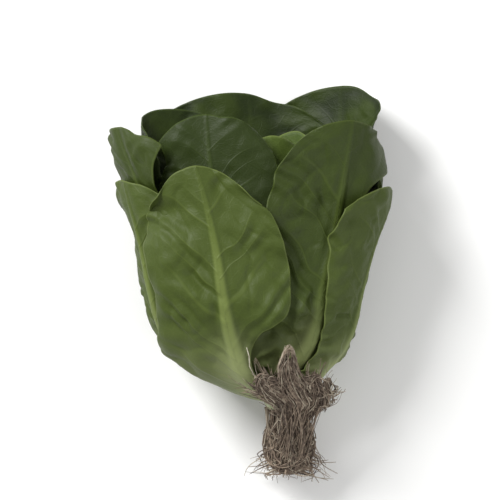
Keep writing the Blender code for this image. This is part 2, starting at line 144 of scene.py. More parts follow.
# height above the crown, half width, half depth, sideways shift and rise of the middle
SHELL = (
    (0.000, 0.0140, 0.0135, 0.0000, 0.0000),
    (0.008, 0.0300, 0.0210, -0.0080, 0.0020),
    (0.018, 0.0440, 0.0280, -0.0150, 0.0050),
    (0.036, 0.0590, 0.0355, -0.0180, 0.0090),
    (0.063, 0.0680, 0.0420, -0.0200, 0.0125),
    (0.093, 0.0745, 0.0430, -0.0200, 0.0130),
    (0.123, 0.0785, 0.0430, -0.0215, 0.0130),
    (0.153, 0.0800, 0.0405, -0.0245, 0.0120),
    (0.193, 0.0790, 0.0360, -0.0260, 0.0100),
    (0.230, 0.0760, 0.0320, -0.0260, 0.0080),
)
WIDEST = SHELL[5]
SQUARENESS = 2.35
LAYER_RISE = 0.0022
LAYER_THINNER = 0.050
LAYER_NARROWER = (0.016, 0.0022)
ROUND_FOOT = 0.030
SMALL_STEP = 0.0005        # between the spots that give the direction out of a shell


def smooth_curve(stations, column):
    """A smooth function through one column of a table whose first column grows."""
    xs = np.array([row[0] for row in stations])
    ys = np.array([row[column] for row in stations])
    slopes = np.gradient(ys, xs)

    def value(x):
        i = np.clip(np.searchsorted(xs, x) - 1, 0, len(xs) - 2)
        span = xs[i + 1] - xs[i]
        s = np.clip((x - xs[i]) / span, 0.0, 1.0)
        return (
            (1 + 2 * s) * (1 - s) ** 2 * ys[i]
            + s * (1 - s) ** 2 * span * slopes[i]
            + s * s * (3 - 2 * s) * ys[i + 1]
            + s * s * (s - 1) * span * slopes[i + 1]
        )
    return value


half_width_at = smooth_curve(SHELL, 1)
half_depth_at = smooth_curve(SHELL, 2)
shift_at = smooth_curve(SHELL, 3)
rise_at = smooth_curve(SHELL, 4)
print("half width 100 mm above the crown in mm:", round(1000 * float(half_width_at(0.1)), 1))

# %% Lengths along the shell
HEIGHTS = np.linspace(0.0, SHELL[-1][0], 460)
WALL_STEPS = np.sqrt(
    np.diff(HEIGHTS) ** 2
    + (np.diff(half_width_at(HEIGHTS)) ** 2 + np.diff(half_depth_at(HEIGHTS)) ** 2) / 2
)
WALL_LENGTHS = np.concatenate(([0.0], np.cumsum(WALL_STEPS)))

RING_ANGLES = np.linspace(0.0, 2 * math.pi, 721)
RING_X = np.sign(np.cos(RING_ANGLES)) * np.abs(np.cos(RING_ANGLES)) ** (2 / SQUARENESS)
RING_Z = np.sign(np.sin(RING_ANGLES)) * np.abs(np.sin(RING_ANGLES)) ** (2 / SQUARENESS)
RING_STEPS = np.hypot(np.diff(RING_X) * WIDEST[1], np.diff(RING_Z) * WIDEST[2])
RING_SHARE = np.concatenate(([0.0], np.cumsum(RING_STEPS))) / RING_STEPS.sum()
print("length of the shell's wall in mm:", round(1000 * WALL_LENGTHS[-1]))


# %% Points of a shell
def step_up(x, start, end):
    """0 up to start, 1 from end, smooth between them."""
    s = np.clip((x - start) / (end - start), 0.0, 1.0)
    return s * s * (3 - 2 * s)


def shell_size(height, layer):
    """Half width and half depth of a shell, at a height above its own foot."""
    narrow = 1.0 - LAYER_THINNER * layer
    wide = 1.0 - LAYER_NARROWER[0] * layer - LAYER_NARROWER[1] * layer ** 2
    wide = narrow + (wide - narrow) * step_up(height, 0.0, ROUND_FOOT)
    return half_width_at(height) * wide, half_depth_at(height) * narrow


def shell_points(share, length, layer):
    """Points of a shell: share of the way round, length up its wall from its foot."""
    below = np.minimum(length, 0.0)
    height = np.interp(length, WALL_LENGTHS, HEIGHTS)
    half_width, half_depth = shell_size(height, layer)
    level = height + LAYER_RISE * layer
    x = CROWN.x + shift_at(level) + half_width * np.interp(share % 1.0, RING_SHARE, RING_X)
    z = CROWN.z + rise_at(level) + half_depth * np.interp(share % 1.0, RING_SHARE, RING_Z)
    return np.stack((x, CROWN.y + level + below, z), axis=-1)


def share_at(turn):
    """Share of the way round the cross-section at a turn in degrees."""
    return float(np.interp(math.radians(turn), RING_ANGLES, RING_SHARE))


def girth(length, layer):
    """Length once round a shell."""
    a, b = shell_size(np.interp(length, WALL_LENGTHS, HEIGHTS), layer)
    return math.pi * (3 * (a + b) - np.sqrt((3 * a + b) * (a + 3 * b)))


def outward(share, length, layer):
    """Points of a shell, and the directions that point straight out of it there."""
    here = shell_points(share, length, layer)
    round_it = shell_points(share + SMALL_STEP, length, layer) - here
    up_it = shell_points(share, length + SMALL_STEP, layer) - here
    out = np.cross(up_it, round_it)
    return here, out / np.linalg.norm(out, axis=-1, keepdims=True)


print("girth of the outermost shell in mm:", round(1000 * float(girth(0.1, 0.0))))

# %% [markdown]
# ## The leaves
# A baby cos has about eighteen leaves of some size: broad dark ones outside, and small pale
# ones in the heart. Every leaf has a foot on the stem, a midrib, and an outline. The outline
# could be drawn as a curve and filled. Here it is a short list of half widths for each half,
# because a leaf's halves differ, and a grid that follows them has even faces for the relief.

# %% Outlines of the half blades
# share of the blade's length, share of its full half width
BROAD = ((0.00, 0.20), (0.07, 0.40), (0.18, 0.80), (0.36, 0.97), (0.60, 1.00),
         (0.80, 0.96), (0.93, 0.84), (1.00, 0.70))
PLAIN = ((0.00, 0.18), (0.10, 0.28), (0.28, 0.60), (0.50, 0.90), (0.68, 1.00),
         (0.84, 0.98), (0.95, 0.84), (1.00, 0.70))
SLENDER = ((0.00, 0.18), (0.10, 0.28), (0.28, 0.50), (0.50, 0.68), (0.68, 0.76),
           (0.84, 0.76), (0.95, 0.70), (1.00, 0.62))
SQUARE = ((0.00, 0.18), (0.08, 0.36), (0.20, 0.74), (0.38, 0.95), (0.60, 1.00),
          (0.84, 1.00), (0.95, 0.94), (1.00, 0.86))
LOBED = ((0.00, 0.20), (0.07, 0.46), (0.20, 0.92), (0.29, 1.02), (0.40, 0.92),
         (0.54, 0.84), (0.80, 0.84), (0.91, 0.74), (1.00, 0.47))
ROUND_BELOW = ((0.00, 0.20), (0.07, 0.46), (0.17, 0.84), (0.34, 1.08), (0.50, 1.10),
               (0.70, 0.93), (0.88, 0.72), (1.00, 0.50))
NOTCHED_BELOW = ((0.00, 0.20), (0.14, 0.15), (0.25, 0.15), (0.32, 0.23), (0.38, 0.37),
                 (0.44, 0.64), (0.50, 0.77), (0.64, 0.82), (0.80, 0.80), (0.91, 0.72),
                 (1.00, 0.58))
WIDENING = ((0.00, 0.18), (0.08, 0.33), (0.25, 0.48), (0.45, 0.64), (0.60, 0.76),
            (0.72, 0.86), (0.85, 0.94), (1.00, 0.89))
SPOON = ((0.00, 0.15), (0.12, 0.21), (0.30, 0.33), (0.52, 0.34), (0.72, 0.24),
         (0.82, 0.27), (0.87, 0.40), (0.91, 0.62), (0.95, 0.88), (1.00, 0.92))
SLIM = ((0.00, 0.10), (0.20, 0.22), (0.40, 0.38), (0.65, 0.52), (0.90, 0.54), (1.00, 0.46))
SLIM_FAN = ((0.00, 0.18), (0.20, 0.23), (0.60, 0.24), (0.80, 0.32), (0.88, 0.44),
            (0.95, 0.60), (1.00, 0.76))
FAN = ((0.00, 0.18), (0.10, 0.28), (0.30, 0.60), (0.55, 0.86), (0.80, 0.94),
       (1.00, 0.92))
NARROW_SHOULDER = ((0.00, 0.18), (0.10, 0.28), (0.28, 0.60), (0.50, 0.85), (0.70, 0.88),
                   (0.83, 0.79), (0.90, 0.66), (1.00, 0.70))
print("stations of the plain outline:", len(PLAIN))

# %% The leaves, one line each
# turn: angle round the axis in degrees, 0 to the right, 90 up, 270 down
# layer: which shell; tip: height of the tip above the crown; half_width: of the blade
# left, right: outlines of the halves at the growing and at the falling turn
# sway: how far the tip leans towards the growing turn
# tilt: how much further the half at the growing turn reaches up
# flare: how far the tip bends outwards
# wave, waves, phase: height, number and start of the waves along the margin
# notch, dip: place across the blade of a dip in its tip, and how deep it is
Leaf = namedtuple(
    "Leaf", "turn layer tip half_width left right sway tilt flare wave waves phase notch dip")
LEAF_LIST = (
    Leaf(99, 0.0, .141, .0500, LOBED, NOTCHED_BELOW, .013, .000, .002, .0018, 3.0, .4, .3, .001),
    Leaf(268, 0.0, .160, .0500, BROAD, BROAD, .004, .002, .003, .0010, 3.0, 1.9, -.4, .003),
    Leaf(16, 1.6, .130, .0420, WIDENING, ROUND_BELOW, -.009, .001, .008, .0010, 3.2, .9, -.1, .003),
    Leaf(158, 2.1, .134, .0420, BROAD, BROAD, .000, .003, .003, .0010, 2.8, 2.6, -.2, .001),
    Leaf(318, 4.6, .192, .0490, SLENDER, SQUARE, .002, .002, .008, .0014, 3.4, 4.0, .6, .003),
    Leaf(135, 3.9, .165, .0370, SQUARE, SLIM_FAN, .020, -.001, .009, .0014, 3.1, 5.1, -.5, .003),
    Leaf(55, 3.4, .166, .0430, BROAD, SPOON, -.014, .003, .009, .0012, 2.7, 1.1, .0, -.001),
    Leaf(227, 7.6, .178, .0490, SQUARE, SQUARE, .000, .000, .003, .0010, 3.0, 3.3, -.5, .002),
    Leaf(272, 6.0, .188, .0500, SQUARE, FAN, .000, -.004, .005, .0012, 3.3, .2, .3, .003),
    Leaf(106, 6.2, .172, .0380, NARROW_SHOULDER, PLAIN, .000, -.003, .003, .0012, 3.2, 4.4, -.3, .002),
    Leaf(352, 3.8, .139, .0330, SLIM, SLIM, .001, .001, .009, .0010, 2.9, 2.2, .4, .003),
    Leaf(74, 10.6, .160, .0330, PLAIN, PLAIN, .000, .002, .000, .0008, 2.6, 1.6, .3, .002),
    Leaf(206, 10.6, .162, .0320, PLAIN, PLAIN, .000, -.002, -.002, .0008, 2.9, 3.0, -.4, .002),
    Leaf(318, 11.7, .164, .0290, PLAIN, PLAIN, .000, .002, -.002, .0008, 2.5, 4.9, .4, .002),
    Leaf(96, 12.6, .158, .0260, PLAIN, PLAIN, .000, -.001, -.002, .0006, 2.4, .5, -.3, .002),
    Leaf(192, 13.8, .150, .0220, PLAIN, PLAIN, .000, .001, -.001, .0005, 2.3, 2.0, .3, .001),
    Leaf(300, 14.8, .142, .0185, PLAIN, PLAIN, .000, .000, -.001, .0005, 2.3, 3.1, .0, .001),
    Leaf(60, 15.8, .130, .0145, PLAIN, PLAIN, .000, .000, -.001, .0004, 2.3, .2, .0, .001),
)
LEAVES = {f"leaf_{number:02d}": leaf for number, leaf in enumerate(LEAF_LIST, start=1)}
print("leaves:", len(LEAVES))

# %% Noise on a leaf
RAGGED = 0.030             # how much a margin goes in and out, as a share of its half width
RAGGED_PITCH = 0.012


def rough(first, second, pitch, seed):
    """Smooth noise from about -1 to 1, with lumps about as wide as pitch."""
    return np.array([noise.noise(Vector((x / pitch, y / pitch, 3.7 * seed)))
                     for x, y in zip(first, second)]) * 1.6


print("noise at some spots:", rough((0.0, 0.01, 0.02), (0.01, 0.0, 0.03), RAGGED_PITCH, 1.0))

# %% Where a spot of a leaf lies
TIP_ROUNDING = 0.36        # how far the ends of the top row fall back, in half widths
TIP_SHAPE = 2.2            # exponent of that rounding
TIP_RIPPLES = 5.0          # how fast the tip's edge ripples across the blade
NOTCH_WIDTH = 0.22
MARGIN = 2.5               # exponent that keeps the waves near the margin
CUP_DEPTH = 0.002          # how far the sides of a heart leaf bend inwards
HEART_LAYER = 9.5


def half_outline(leaf, u, v):
    """Half width of the blade in metres, on the side that u lies on."""
    left = smooth_curve(leaf.left, 1)(v)
    right = smooth_curve(leaf.right, 1)(v)
    ragged = 1 + RAGGED * rough(np.sign(u), v * leaf_length(leaf), RAGGED_PITCH, leaf.phase)
    return leaf.half_width * np.where(u > 0, left, right) * ragged


def leaf_length(leaf):
    """Length of the leaf along its shell."""
    return float(np.interp(leaf.tip - LAYER_RISE * leaf.layer, HEIGHTS, WALL_LENGTHS))


def leaf_place(leaf, u, v):
    """Share of the way round the shell, and length up it. u is -1 to 1, v is 0 to 1."""
    droop = TIP_ROUNDING * leaf.half_width * v ** 3 * np.abs(u) ** TIP_SHAPE
    dip = leaf.dip * np.exp(-((u - leaf.notch) / NOTCH_WIDTH) ** 2) * step_up(v, 0.7, 1.0)
    length = leaf_length(leaf) * v - droop - dip + leaf.tilt * u * v * v
    across = leaf.sway * v * v + u * half_outline(leaf, u, v)
    return share_at(leaf.turn) + across / girth(length, leaf.layer), length


def leaf_lift(leaf, u, v):
    """How far the plain leaf stands out of its shell: flared tip, cup and margin waves."""
    flare = leaf.flare * step_up(v, 0.55, 1.0) ** 2
    cup = CUP_DEPTH * (leaf.layer > HEART_LAYER) * u * u * step_up(v, 0.2, 0.7)
    turning = 2 * math.pi * leaf.waves * v + leaf.phase + np.where(u > 0, 1.0, -1.0)
    wave = leaf.wave * np.sin(turning) * np.abs(u) ** MARGIN * step_up(v, 0.05, 0.35)
    ripple = leaf.wave * np.sin(TIP_RIPPLES * u + leaf.phase) * step_up(v, 0.75, 1.0)
    return flare - cup + wave + ripple


print("length of the first leaf in mm:", round(1000 * leaf_length(LEAVES["leaf_01"])))

# %% [markdown]
# ## Relief of a leaf
# From close by, a cos leaf is far from flat. Side veins leave the midrib and curve up to the
# margin, and the blade sags between them. A sculptor would brush these in. Here they come
# from formulas in the leaf's own measures, across and along it in metres, so the veins in
# the mesh and the pale lines in the finish use the same numbers. Noise makes them uneven.

# %% Side veins
VEIN_GAP = 0.36            # distance between side veins, in half widths of the leaf
VEIN_RISE = 1.05           # how steeply a side vein leaves the midrib
VEIN_CURVE = 3.0           # how much it bends towards the tip, per metre
VEIN_WANDER = 0.0040       # how far it strays from its line
VEIN_WANDER_PITCH = 0.022
VEIN_UNEVEN = 0.26         # how uneven the gaps are
VEIN_UNEVEN_RATE = 2.3
VEIN_WIDTH = 0.0010
VEIN_HEIGHT = 0.00022


def vein_turn(leaf, across, along):
    """Counts the side veins up the leaf: whole at a vein, half way between two."""
    run = np.abs(across)
    wander = VEIN_WANDER * rough(across, along, VEIN_WANDER_PITCH, leaf.phase + 1)
    start = along - VEIN_RISE * run - VEIN_CURVE * run ** 2 + wander * step_up(run, 0.0, 0.012)
    turn = start / (VEIN_GAP * leaf.half_width) + np.where(across > 0, 0.5, 0.0)
    return turn + VEIN_UNEVEN * np.sin(VEIN_UNEVEN_RATE * turn + leaf.phase)


def vein_ridge(leaf, turn, u):
    """Height of the side veins on the outer face."""
    away = np.abs((turn + 0.5) % 1.0 - 0.5) * VEIN_GAP * leaf.half_width
    width = VEIN_WIDTH * (1.0 - 0.55 * np.abs(u))
    return VEIN_HEIGHT * (1.0 - 0.7 * np.abs(u)) * np.exp(-(away / width) ** 2)


print("side veins on the first leaf:", round(leaf_length(LEAVES["leaf_01"]) / VEIN_GAP / 0.05))

# %% Swells and creases
SAG = 0.0017               # how deep the blade sags between two side veins
SAG_MEAN, SAG_SPREAD = 0.55, 0.9       # shares of that depth
SAG_LEAST, SAG_MOST = 0.1, 1.2
SWELL, SWELL_PITCH = 0.0028, 0.030     # neighbours swell together, which keeps most of them apart
SWELL_ROUND = 0.26         # metres once round the head, for the noise of the swell
PUCKER, PUCKER_PITCH = 0.0009, 0.0095
CREASE, CREASE_PITCH = 0.0008, 0.016
CREASE_SHARPNESS = 5.0
CRUMPLES = {"leaf_07": 0.0024, "leaf_03": 0.0014}      # in the lower half of these leaves
CRUMPLE_PITCH, CRUMPLE_FALL = 0.012, 2.2
CALM_LAYER, CALM = 4.2, 0.6            # leaves from this layer inwards have so much less relief


def relief(name, leaf, across, along, turn, v):
    """How far the blade stands out of its plain form."""
    off_rib = step_up(np.abs(across), 0.001, 0.011)
    strength = SAG_MEAN + SAG_SPREAD * rough(across, along, SWELL_PITCH, leaf.phase + 2)
    strength = np.clip(strength, SAG_LEAST, SAG_MOST)
    sag = -SAG * np.sin(math.pi * turn) ** 2 * strength
    around = share_at(leaf.turn) + across / girth(along, 0.0)
    swell = SWELL * rough(SWELL_ROUND * around, along, SWELL_PITCH, 0)
    pucker = PUCKER * rough(across, along, PUCKER_PITCH, leaf.phase + 4)
    ridged = 1 - np.abs(rough(across, along, CREASE_PITCH, leaf.phase + 5))
    crease = -CREASE * np.maximum(ridged, 0.0) ** CREASE_SHARPNESS
    total = (sag + swell + pucker + crease) * step_up(v, 0.03, 0.25)
    if name in CRUMPLES:
        ridged = 1 - CRUMPLE_FALL * np.abs(rough(across, along, CRUMPLE_PITCH, leaf.phase + 6))
        total += CRUMPLES[name] * ridged * step_up(v, 0.05, 0.15) * (1 - step_up(v, 0.34, 0.55))
    calm = CALM if leaf.layer > CALM_LAYER else 1.0
    return total * off_rib * calm * min(1.0, leaf.half_width / 0.040)


print("deepest sag in mm:", 1000 * SAG)

# %% [markdown]
# A few folds are large enough to know a leaf by: a valley that runs up beside the midrib of
# the front leaf, small pockets, and a slit and a hollow in the leaf on its right. Where the
# photo shows them is read off it in pixels. A search over the plain leaf, seen as the camera
# sees it, then finds the place on the leaf that lies there. This way a fold stays where the
# photo has it when the leaf's form changes.

# %% Spots read off the photo
PHOTO_PIXELS = 500         # width and height of the photo
SEARCH_GRID = 241          # rows and columns of the search on a leaf
HIDDEN = 1000.0            # added, in pixels, to spots that face away from the camera

VALLEY_TOP, VALLEY_BEND, VALLEY_FOOT = (185, 256), (200, 285), (222, 300)
RIDGE_LEFT, RIDGE_RIGHT = (190, 295), (215, 295)
POCKET, SMALL_POCKET = (186, 321), (217, 312)
CREASE_TOP, CREASE_FOOT = (268, 258), (234, 300)
SLIT_LEFT, SLIT_RIGHT = (336, 316), (350, 316)
HOLLOW, LIP = (334, 333), (320, 350)


def seen_spots(leaf):
    """Spots all over a plain leaf: pixels right and down, hiding, metres across and along."""
    shares = np.linspace(-1.0, 1.0, SEARCH_GRID)
    u, v = [grid.ravel() for grid in np.meshgrid(shares, (shares + 1) / 2)]
    here, out = outward(*leaf_place(leaf, u, v), leaf.layer)
    points = here + out * leaf_lift(leaf, u, v)[:, None] - np.array(LOOK_AT)
    pixels = points[:, :2] * (PHOTO_PIXELS / VIEW_WIDTH)
    pixels *= (CAMERA_DISTANCE / (CAMERA_DISTANCE - points[:, 2]))[:, None]
    right, down = PHOTO_PIXELS / 2 + pixels[:, 0], PHOTO_PIXELS / 2 - pixels[:, 1]
    return right, down, HIDDEN * (out[:, 2] < 0), u * half_outline(leaf, u, v), v * leaf_length(leaf)


def spot_on(spots, pixel):
    """Metres across and along the leaf of the spot that the photo shows at a pixel."""
    right, down, hiding, across, along = spots
    best = np.argmin(np.hypot(right - pixel[0], down - pixel[1]) + hiding)
    return float(across[best]), float(along[best])


FRONT_SPOTS = seen_spots(LEAVES["leaf_01"])
RIGHT_SPOTS = seen_spots(LEAVES["leaf_03"])
print("the valley's top is at m:", [round(x, 4) for x in spot_on(FRONT_SPOTS, VALLEY_TOP)])

# %% [markdown]
# Each fold is a straight line on the leaf with a width and a height, and a valley's height is
# below zero. Some run between two spots of the photo. Others run a given way from one spot.
# The rest are given on the leaf, in metres across and along it.

# %% Large folds
Fold = namedtuple("Fold", "across along to_across to_along width height")


def fold_between(spots, start, end, width, height):
    """A fold between two spots of the photo."""
    return Fold(*spot_on(spots, start), *spot_on(spots, end), width, height)


def fold_run(spots, spot, run, width, height, share=0.0):
    """A fold with a given run across and along. The spot lies that share of the way up it."""
    across, along = spot_on(spots, spot)
    across -= share * run[0]
    along -= share * run[1]
    return Fold(across, along, across + run[0], along + run[1], width, height)


FOLDS = {
    "leaf_01": (
        fold_between(FRONT_SPOTS, VALLEY_TOP, VALLEY_BEND, .0032, -.0016),
        fold_between(FRONT_SPOTS, VALLEY_BEND, VALLEY_FOOT, .0030, -.0018),
        fold_between(FRONT_SPOTS, RIDGE_LEFT, RIDGE_RIGHT, .0045, .0013),
        fold_run(FRONT_SPOTS, POCKET, (-.0040, -.0020), .0030, -.0016, share=0.5),
        fold_run(FRONT_SPOTS, SMALL_POCKET, (-.0015, -.0090), .0028, -.0014, share=0.5),
        fold_between(FRONT_SPOTS, CREASE_TOP, CREASE_FOOT, .0035, -.0014),
        Fold(-.0240, .0930, -.0340, .0700, .0060, .0010),
        Fold(.0300, .1280, .0330, .0800, .0110, .0020),
    ),
    "leaf_03": (
        fold_between(RIGHT_SPOTS, SLIT_LEFT, SLIT_RIGHT, .0016, -.0022),
        fold_run(RIGHT_SPOTS, HOLLOW, (-.0090, .0), .0050, -.0026),
        fold_run(RIGHT_SPOTS, LIP, (-.0175, -.0020), .0040, .0016),
        Fold(.0250, .1150, .0100, .0850, .0045, -.0013),
    ),
    "leaf_07": (
        Fold(.0200, .0600, .0040, .0700, .0040, .0018),
        Fold(.0260, .0500, .0080, .0480, .0030, -.0018),
        Fold(.0150, .1600, .0080, .1250, .0035, -.0011),
    ),
    "leaf_04": (
        Fold(-.0170, .1300, -.0150, .0800, .0120, -.0014),
    ),
    "leaf_06": (
        Fold(-.0060, .1780, -.0050, .1400, .0030, .0012),
        Fold(-.0010, .1780, .0000, .1450, .0030, -.0010),
    ),
    "leaf_05": (
        Fold(.0300, .1900, .0180, .1350, .0040, .0013),
        Fold(.0200, .1950, .0120, .1500, .0035, -.0012),
    ),
}


def fold_height(fold, across, along):
    """Height of one fold on the blade."""
    run_across = fold.to_across - fold.across
    run_along = fold.to_along - fold.along
    length = math.hypot(run_across, run_along)
    ahead = ((across - fold.across) * run_across + (along - fold.along) * run_along) / length
    beside = ((across - fold.across) * run_along - (along - fold.along) * run_across) / length
    start = step_up(ahead, -fold.width, fold.width)
    end = step_up(ahead, length - fold.width, length + fold.width)
    return fold.height * start * (1 - end) * np.exp(-(beside / fold.width) ** 2)


print("large folds:", sum(len(folds) for folds in FOLDS.values()))

# %% The midrib
RIB_AT_FOOT, RIB_AT_TIP = 0.0021, 0.0003
RIB_WIDTH_AT_FOOT, RIB_WIDTH_AT_TIP = 0.0075, 0.0011
RIB_NARROWING = 0.75       # below 1 the rib narrows fast above its foot
RIB_FULL_SIZE = 0.045
RIB_GROOVE = 0.0006        # a shallow groove along each side of the rib


def rib_width(leaf, v):
    """Half width of the midrib."""
    share = min(1.0, leaf.half_width / RIB_FULL_SIZE) ** 2
    return share * (RIB_WIDTH_AT_FOOT + (RIB_WIDTH_AT_TIP - RIB_WIDTH_AT_FOOT) * v ** RIB_NARROWING)


def rib_height(leaf, across, v):
    """How far the midrib stands out of the outer face."""
    share = min(1.0, leaf.half_width / RIB_FULL_SIZE) ** 2
    height = share * (RIB_AT_FOOT + (RIB_AT_TIP - RIB_AT_FOOT) * v)
    away = np.abs(across / rib_width(leaf, v))
    return height * np.exp(-away ** 3) - RIB_GROOVE * share * np.exp(-((away - 1.6) / 0.5) ** 2) * (1 - v)


print("rib of the first leaf, half width in mm:", round(1000 * float(rib_width(LEAVES["leaf_01"], 0.2)), 1))

# %% [markdown]
# ## The finish of a leaf
# Three things give a lettuce leaf its colour: a deep green with soft paler clouds, a net of
# pale veins, and a pale watery foot and midrib. Light is painted in too: the green follows the
# height of hollows and swells as painted shading, a thin painted highlight runs along the
# margin, and leaves deeper in the head get darker copies of the colours as painted shade. The
# shader reads where it is on the leaf from values that each point of the mesh carries, so the
# pattern follows every fold.

# %% Small helpers for shader nodes
def maths(nodes, links, operation, first, second=None, third=None, clamp=False):
    """One Math node. Its inputs are numbers or other nodes' outputs."""
    node = nodes.new("ShaderNodeMath")
    node.operation = operation
    node.use_clamp = clamp
    for socket, value in zip(node.inputs, (first, second, third)):
        if isinstance(value, bpy.types.NodeSocket):
            links.new(value, socket)
        elif value is not None:
            socket.default_value = value
    return node.outputs[0]


def fade(nodes, links, value, start, end):
    """1 where the value is below start, 0 above end, smooth between them."""
    node = nodes.new("ShaderNodeMapRange")
    node.interpolation_type = "SMOOTHSTEP"
    links.new(value, node.inputs["Value"])
    for name, number in (("From Min", start), ("From Max", end), ("To Min", 1.0), ("To Max", 0.0)):
        if isinstance(number, bpy.types.NodeSocket):
            links.new(number, node.inputs[name])
        else:
            node.inputs[name].default_value = number
    return node.outputs["Result"]


def blend(nodes, links, share, first, second):
    """A colour between two others, which are colours or outputs of nodes."""
    node = nodes.new("ShaderNodeMix")
    node.data_type = "RGBA"
    links.new(share, node.inputs["Factor"])
    for socket, value in ((node.inputs[6], first), (node.inputs[7], second)):
        if isinstance(value, bpy.types.NodeSocket):
            links.new(value, socket)
        else:
            socket.default_value = (*value, 1.0)
    return node.outputs[2]


print("shader helpers ready")


# %% Noise and net patterns
def cloud(nodes, links, place, scale, detail=3.0):
    """Soft noise, about 0.5 on average."""
    node = nodes.new("ShaderNodeTexNoise")
    links.new(place, node.inputs["Vector"])
    node.inputs["Scale"].default_value = scale
    node.inputs["Detail"].default_value = detail
    return node.outputs["Fac"]


def net(nodes, links, place, scale):
    """Distance to the borders of a net of cells."""
    node = nodes.new("ShaderNodeTexVoronoi")
    node.feature = "DISTANCE_TO_EDGE"
    links.new(place, node.inputs["Vector"])
    node.inputs["Scale"].default_value = scale
    return node.outputs["Distance"]


print("pattern helpers ready")

# %% The leaf material
LeafColours = namedtuple("LeafColours", "deep light inside vein rib foot")
FRONT_COLOURS = LeafColours(
    deep=(0.029, 0.047, 0.005), light=(0.073, 0.103, 0.015), inside=(0.050, 0.072, 0.012),
    vein=(0.098, 0.132, 0.026), rib=(0.155, 0.192, 0.056), foot=(0.340, 0.380, 0.175),
)
# Painted shade: the outer and inner colours are the front colours darkened, for leaves that lie deeper in
# the head.
OUTER_SHADED_COLOURS = LeafColours(
    deep=(0.018, 0.031, 0.003), light=(0.047, 0.069, 0.009), inside=(0.032, 0.048, 0.007),
    vein=(0.062, 0.089, 0.014), rib=(0.078, 0.106, 0.022), foot=(0.300, 0.340, 0.140),
)
INNER_SHADED_COLOURS = LeafColours(
    deep=(0.010, 0.018, 0.002), light=(0.027, 0.043, 0.005), inside=(0.019, 0.031, 0.004),
    vein=(0.039, 0.060, 0.009), rib=(0.060, 0.088, 0.018), foot=(0.300, 0.350, 0.150),
)
HEART_COLOURS = LeafColours(
    deep=(0.036, 0.064, 0.008), light=(0.086, 0.128, 0.020), inside=(0.066, 0.100, 0.016),
    vein=(0.140, 0.190, 0.042), rib=(0.195, 0.240, 0.075), foot=(0.400, 0.440, 0.215),
)
LEAF_ROUGHNESS, LEAF_SHINE = 0.52, 0.20
CLOUD_SCALE, SPECK_SCALE = 38.0, 300.0
BIG_NET, SMALL_NET = 150.0, 430.0          # cells per metre
BUMP_HEIGHT, BUMP_SHARE = 0.0005, 0.6
# The relief's height is painted into the green as shading of hollows and swells.
RELIEF_SHADING_FROM, RELIEF_SHADING_TO = -0.0016, 0.0012  # heights between which hollows turn to swells
# Painted highlight along the leaf margin: full up to the first width, gone at the second.
RIM_HIGHLIGHT_FULL, RIM_HIGHLIGHT_ENDS = 0.0003, 0.0011      # metres from the margin
VEIN_SHOWS, RIM_HIGHLIGHT_SHOWS = 0.30, 0.40


def split(nodes, links, name):
    """The three numbers of a vector that the mesh's points carry, and the vector."""
    carried = nodes.new("ShaderNodeAttribute")
    carried.attribute_name = name
    parts = nodes.new("ShaderNodeSeparateXYZ")
    links.new(carried.outputs["Vector"], parts.inputs[0])
    return (*parts.outputs, carried.outputs["Vector"])


def leaf_veins(nodes, links, place, turn, to_edge):
    """1 on a side vein or on the net between them, 0 on the plain blade."""
    away = maths(nodes, links, "PINGPONG", turn, 0.5)
    side_vein = fade(nodes, links, away, 0.015, 0.075)
    inner_part = fade(nodes, links, to_edge, 0.026, 0.004)
    side_vein = maths(nodes, links, "MULTIPLY", side_vein, inner_part)
    big = fade(nodes, links, net(nodes, links, place, BIG_NET), 0.0, 0.060)
    small = fade(nodes, links, net(nodes, links, place, SMALL_NET), 0.0, 0.120)
    netting = maths(nodes, links, "MAXIMUM", maths(nodes, links, "MULTIPLY", big, 0.40),
                    maths(nodes, links, "MULTIPLY", small, 0.22))
    return maths(nodes, links, "MAXIMUM", side_vein, netting)


